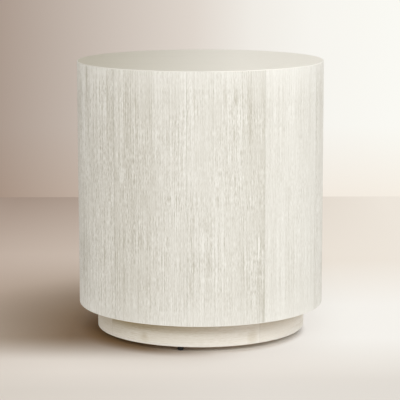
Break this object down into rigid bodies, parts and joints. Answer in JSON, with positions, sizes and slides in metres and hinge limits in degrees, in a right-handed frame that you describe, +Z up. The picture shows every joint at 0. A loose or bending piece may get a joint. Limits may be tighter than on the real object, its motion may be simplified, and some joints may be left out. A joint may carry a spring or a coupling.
{
  "type": "drum side table",
  "caption": "Round drum side table in whitewashed oak veneer on a recessed ring plinth with screw-in levelling glides.",
  "frame": {"origin": "on the floor, under the middle of the drum", "axes": "+Z up through the drum, the front of the picture towards -Y"},
  "size_m": [0.508, 0.508, 0.565],
  "materials": {
    "side_oak": "whitewashed wire-brushed oak veneer, matt",
    "top_oak": "whitewashed oak veneer, matt",
    "plinth_oak": "whitewashed solid oak, matt",
    "core_board": "sealed fibreboard",
    "bending_ply": "raw plywood",
    "former_ply": "raw plywood",
    "softwood": "planed softwood",
    "dowel_beech": "turned beech",
    "zinc_steel": "zinc plated",
    "black_steel": "black zinc",
    "black_nylon": "moulded, matt"
  },
  "bodies": {
    "table": {"side_leaf_01": "side_oak", "side_leaf_02": "side_oak", "side_leaf_03": "side_oak", "side_leaf_04": "side_oak", "side_leaf_05": "side_oak", "side_leaf_06": "side_oak", "side_leaf_07": "side_oak", "side_leaf_08": "side_oak", "side_leaf_09": "side_oak", "side_leaf_10": "side_oak", "top_leaf_1": "top_oak", "top_leaf_2": "top_oak", "top_leaf_3": "top_oak", "plinth_segment_1": "plinth_oak", "plinth_segment_2": "plinth_oak", "plinth_segment_3": "plinth_oak", "plinth_segment_4": "plinth_oak", "top_core": "core_board", "bottom_panel": "core_board", "inner_skin_front": "bending_ply", "inner_skin_rear": "bending_ply", "outer_skin_left": "bending_ply", "outer_skin_right": "bending_ply", "upper_former": "former_ply", "middle_former": "former_ply", "lower_former": "former_ply", "upright_1": "softwood", "upright_2": "softwood", "upright_3": "softwood", "upright_4": "softwood", "upright_5": "softwood", "upright_6": "softwood", "joint_block_1": "softwood", "joint_block_2": "softwood", "joint_block_3": "softwood", "joint_block_4": "softwood", "plinth_dowels": "dowel_beech", "top_screws": "zinc_steel", "bottom_screws": "zinc_steel", "plinth_screws": "zinc_steel", "block_screws": "zinc_steel", "glide_insert_1": "zinc_steel", "glide_insert_2": "zinc_steel", "glide_insert_3": "zinc_steel", "glide_insert_4": "zinc_steel"},
    "pad_1": {"glide_pad_1": "black_nylon"},
    "stud_1": {"glide_stud_1": "black_steel"},
    "pad_2": {"glide_pad_2": "black_nylon"},
    "stud_2": {"glide_stud_2": "black_steel"},
    "pad_3": {"glide_pad_3": "black_nylon"},
    "stud_3": {"glide_stud_3": "black_steel"},
    "pad_4": {"glide_pad_4": "black_nylon"},
    "stud_4": {"glide_stud_4": "black_steel"}
  },
  "joints": [
    {"name": "glide_1_travel", "type": "slide", "parent": "table", "child": "pad_1", "axis": [0, 0, -1], "range_m": [0, 0.012]},
    {"name": "glide_1_turn", "type": "hinge", "parent": "pad_1", "child": "stud_1", "pos_m": [-0.04137, -0.19465, 0.0043], "axis": [0, 0, -1], "range_deg": [0, 4320]},
    {"name": "glide_2_travel", "type": "slide", "parent": "table", "child": "pad_2", "axis": [0, 0, -1], "range_m": [0, 0.012]},
    {"name": "glide_2_turn", "type": "hinge", "parent": "pad_2", "child": "stud_2", "pos_m": [0.19465, -0.04137, 0.0043], "axis": [0, 0, -1], "range_deg": [0, 4320]},
    {"name": "glide_3_travel", "type": "slide", "parent": "table", "child": "pad_3", "axis": [0, 0, -1], "range_m": [0, 0.012]},
    {"name": "glide_3_turn", "type": "hinge", "parent": "pad_3", "child": "stud_3", "pos_m": [0.04137, 0.19465, 0.0043], "axis": [0, 0, -1], "range_deg": [0, 4320]},
    {"name": "glide_4_travel", "type": "slide", "parent": "table", "child": "pad_4", "axis": [0, 0, -1], "range_m": [0, 0.012]},
    {"name": "glide_4_turn", "type": "hinge", "parent": "pad_4", "child": "stud_4", "pos_m": [-0.19465, 0.04137, 0.0043], "axis": [0, 0, -1], "range_deg": [0, 4320]}
  ],
  "couplings": [
    {"joint": "glide_1_turn", "follows": "glide_1_travel", "rad_per_m": 6283.2},
    {"joint": "glide_2_turn", "follows": "glide_2_travel", "rad_per_m": 6283.2},
    {"joint": "glide_3_turn", "follows": "glide_3_travel", "rad_per_m": 6283.2},
    {"joint": "glide_4_turn", "follows": "glide_4_travel", "rad_per_m": 6283.2}
  ]
}
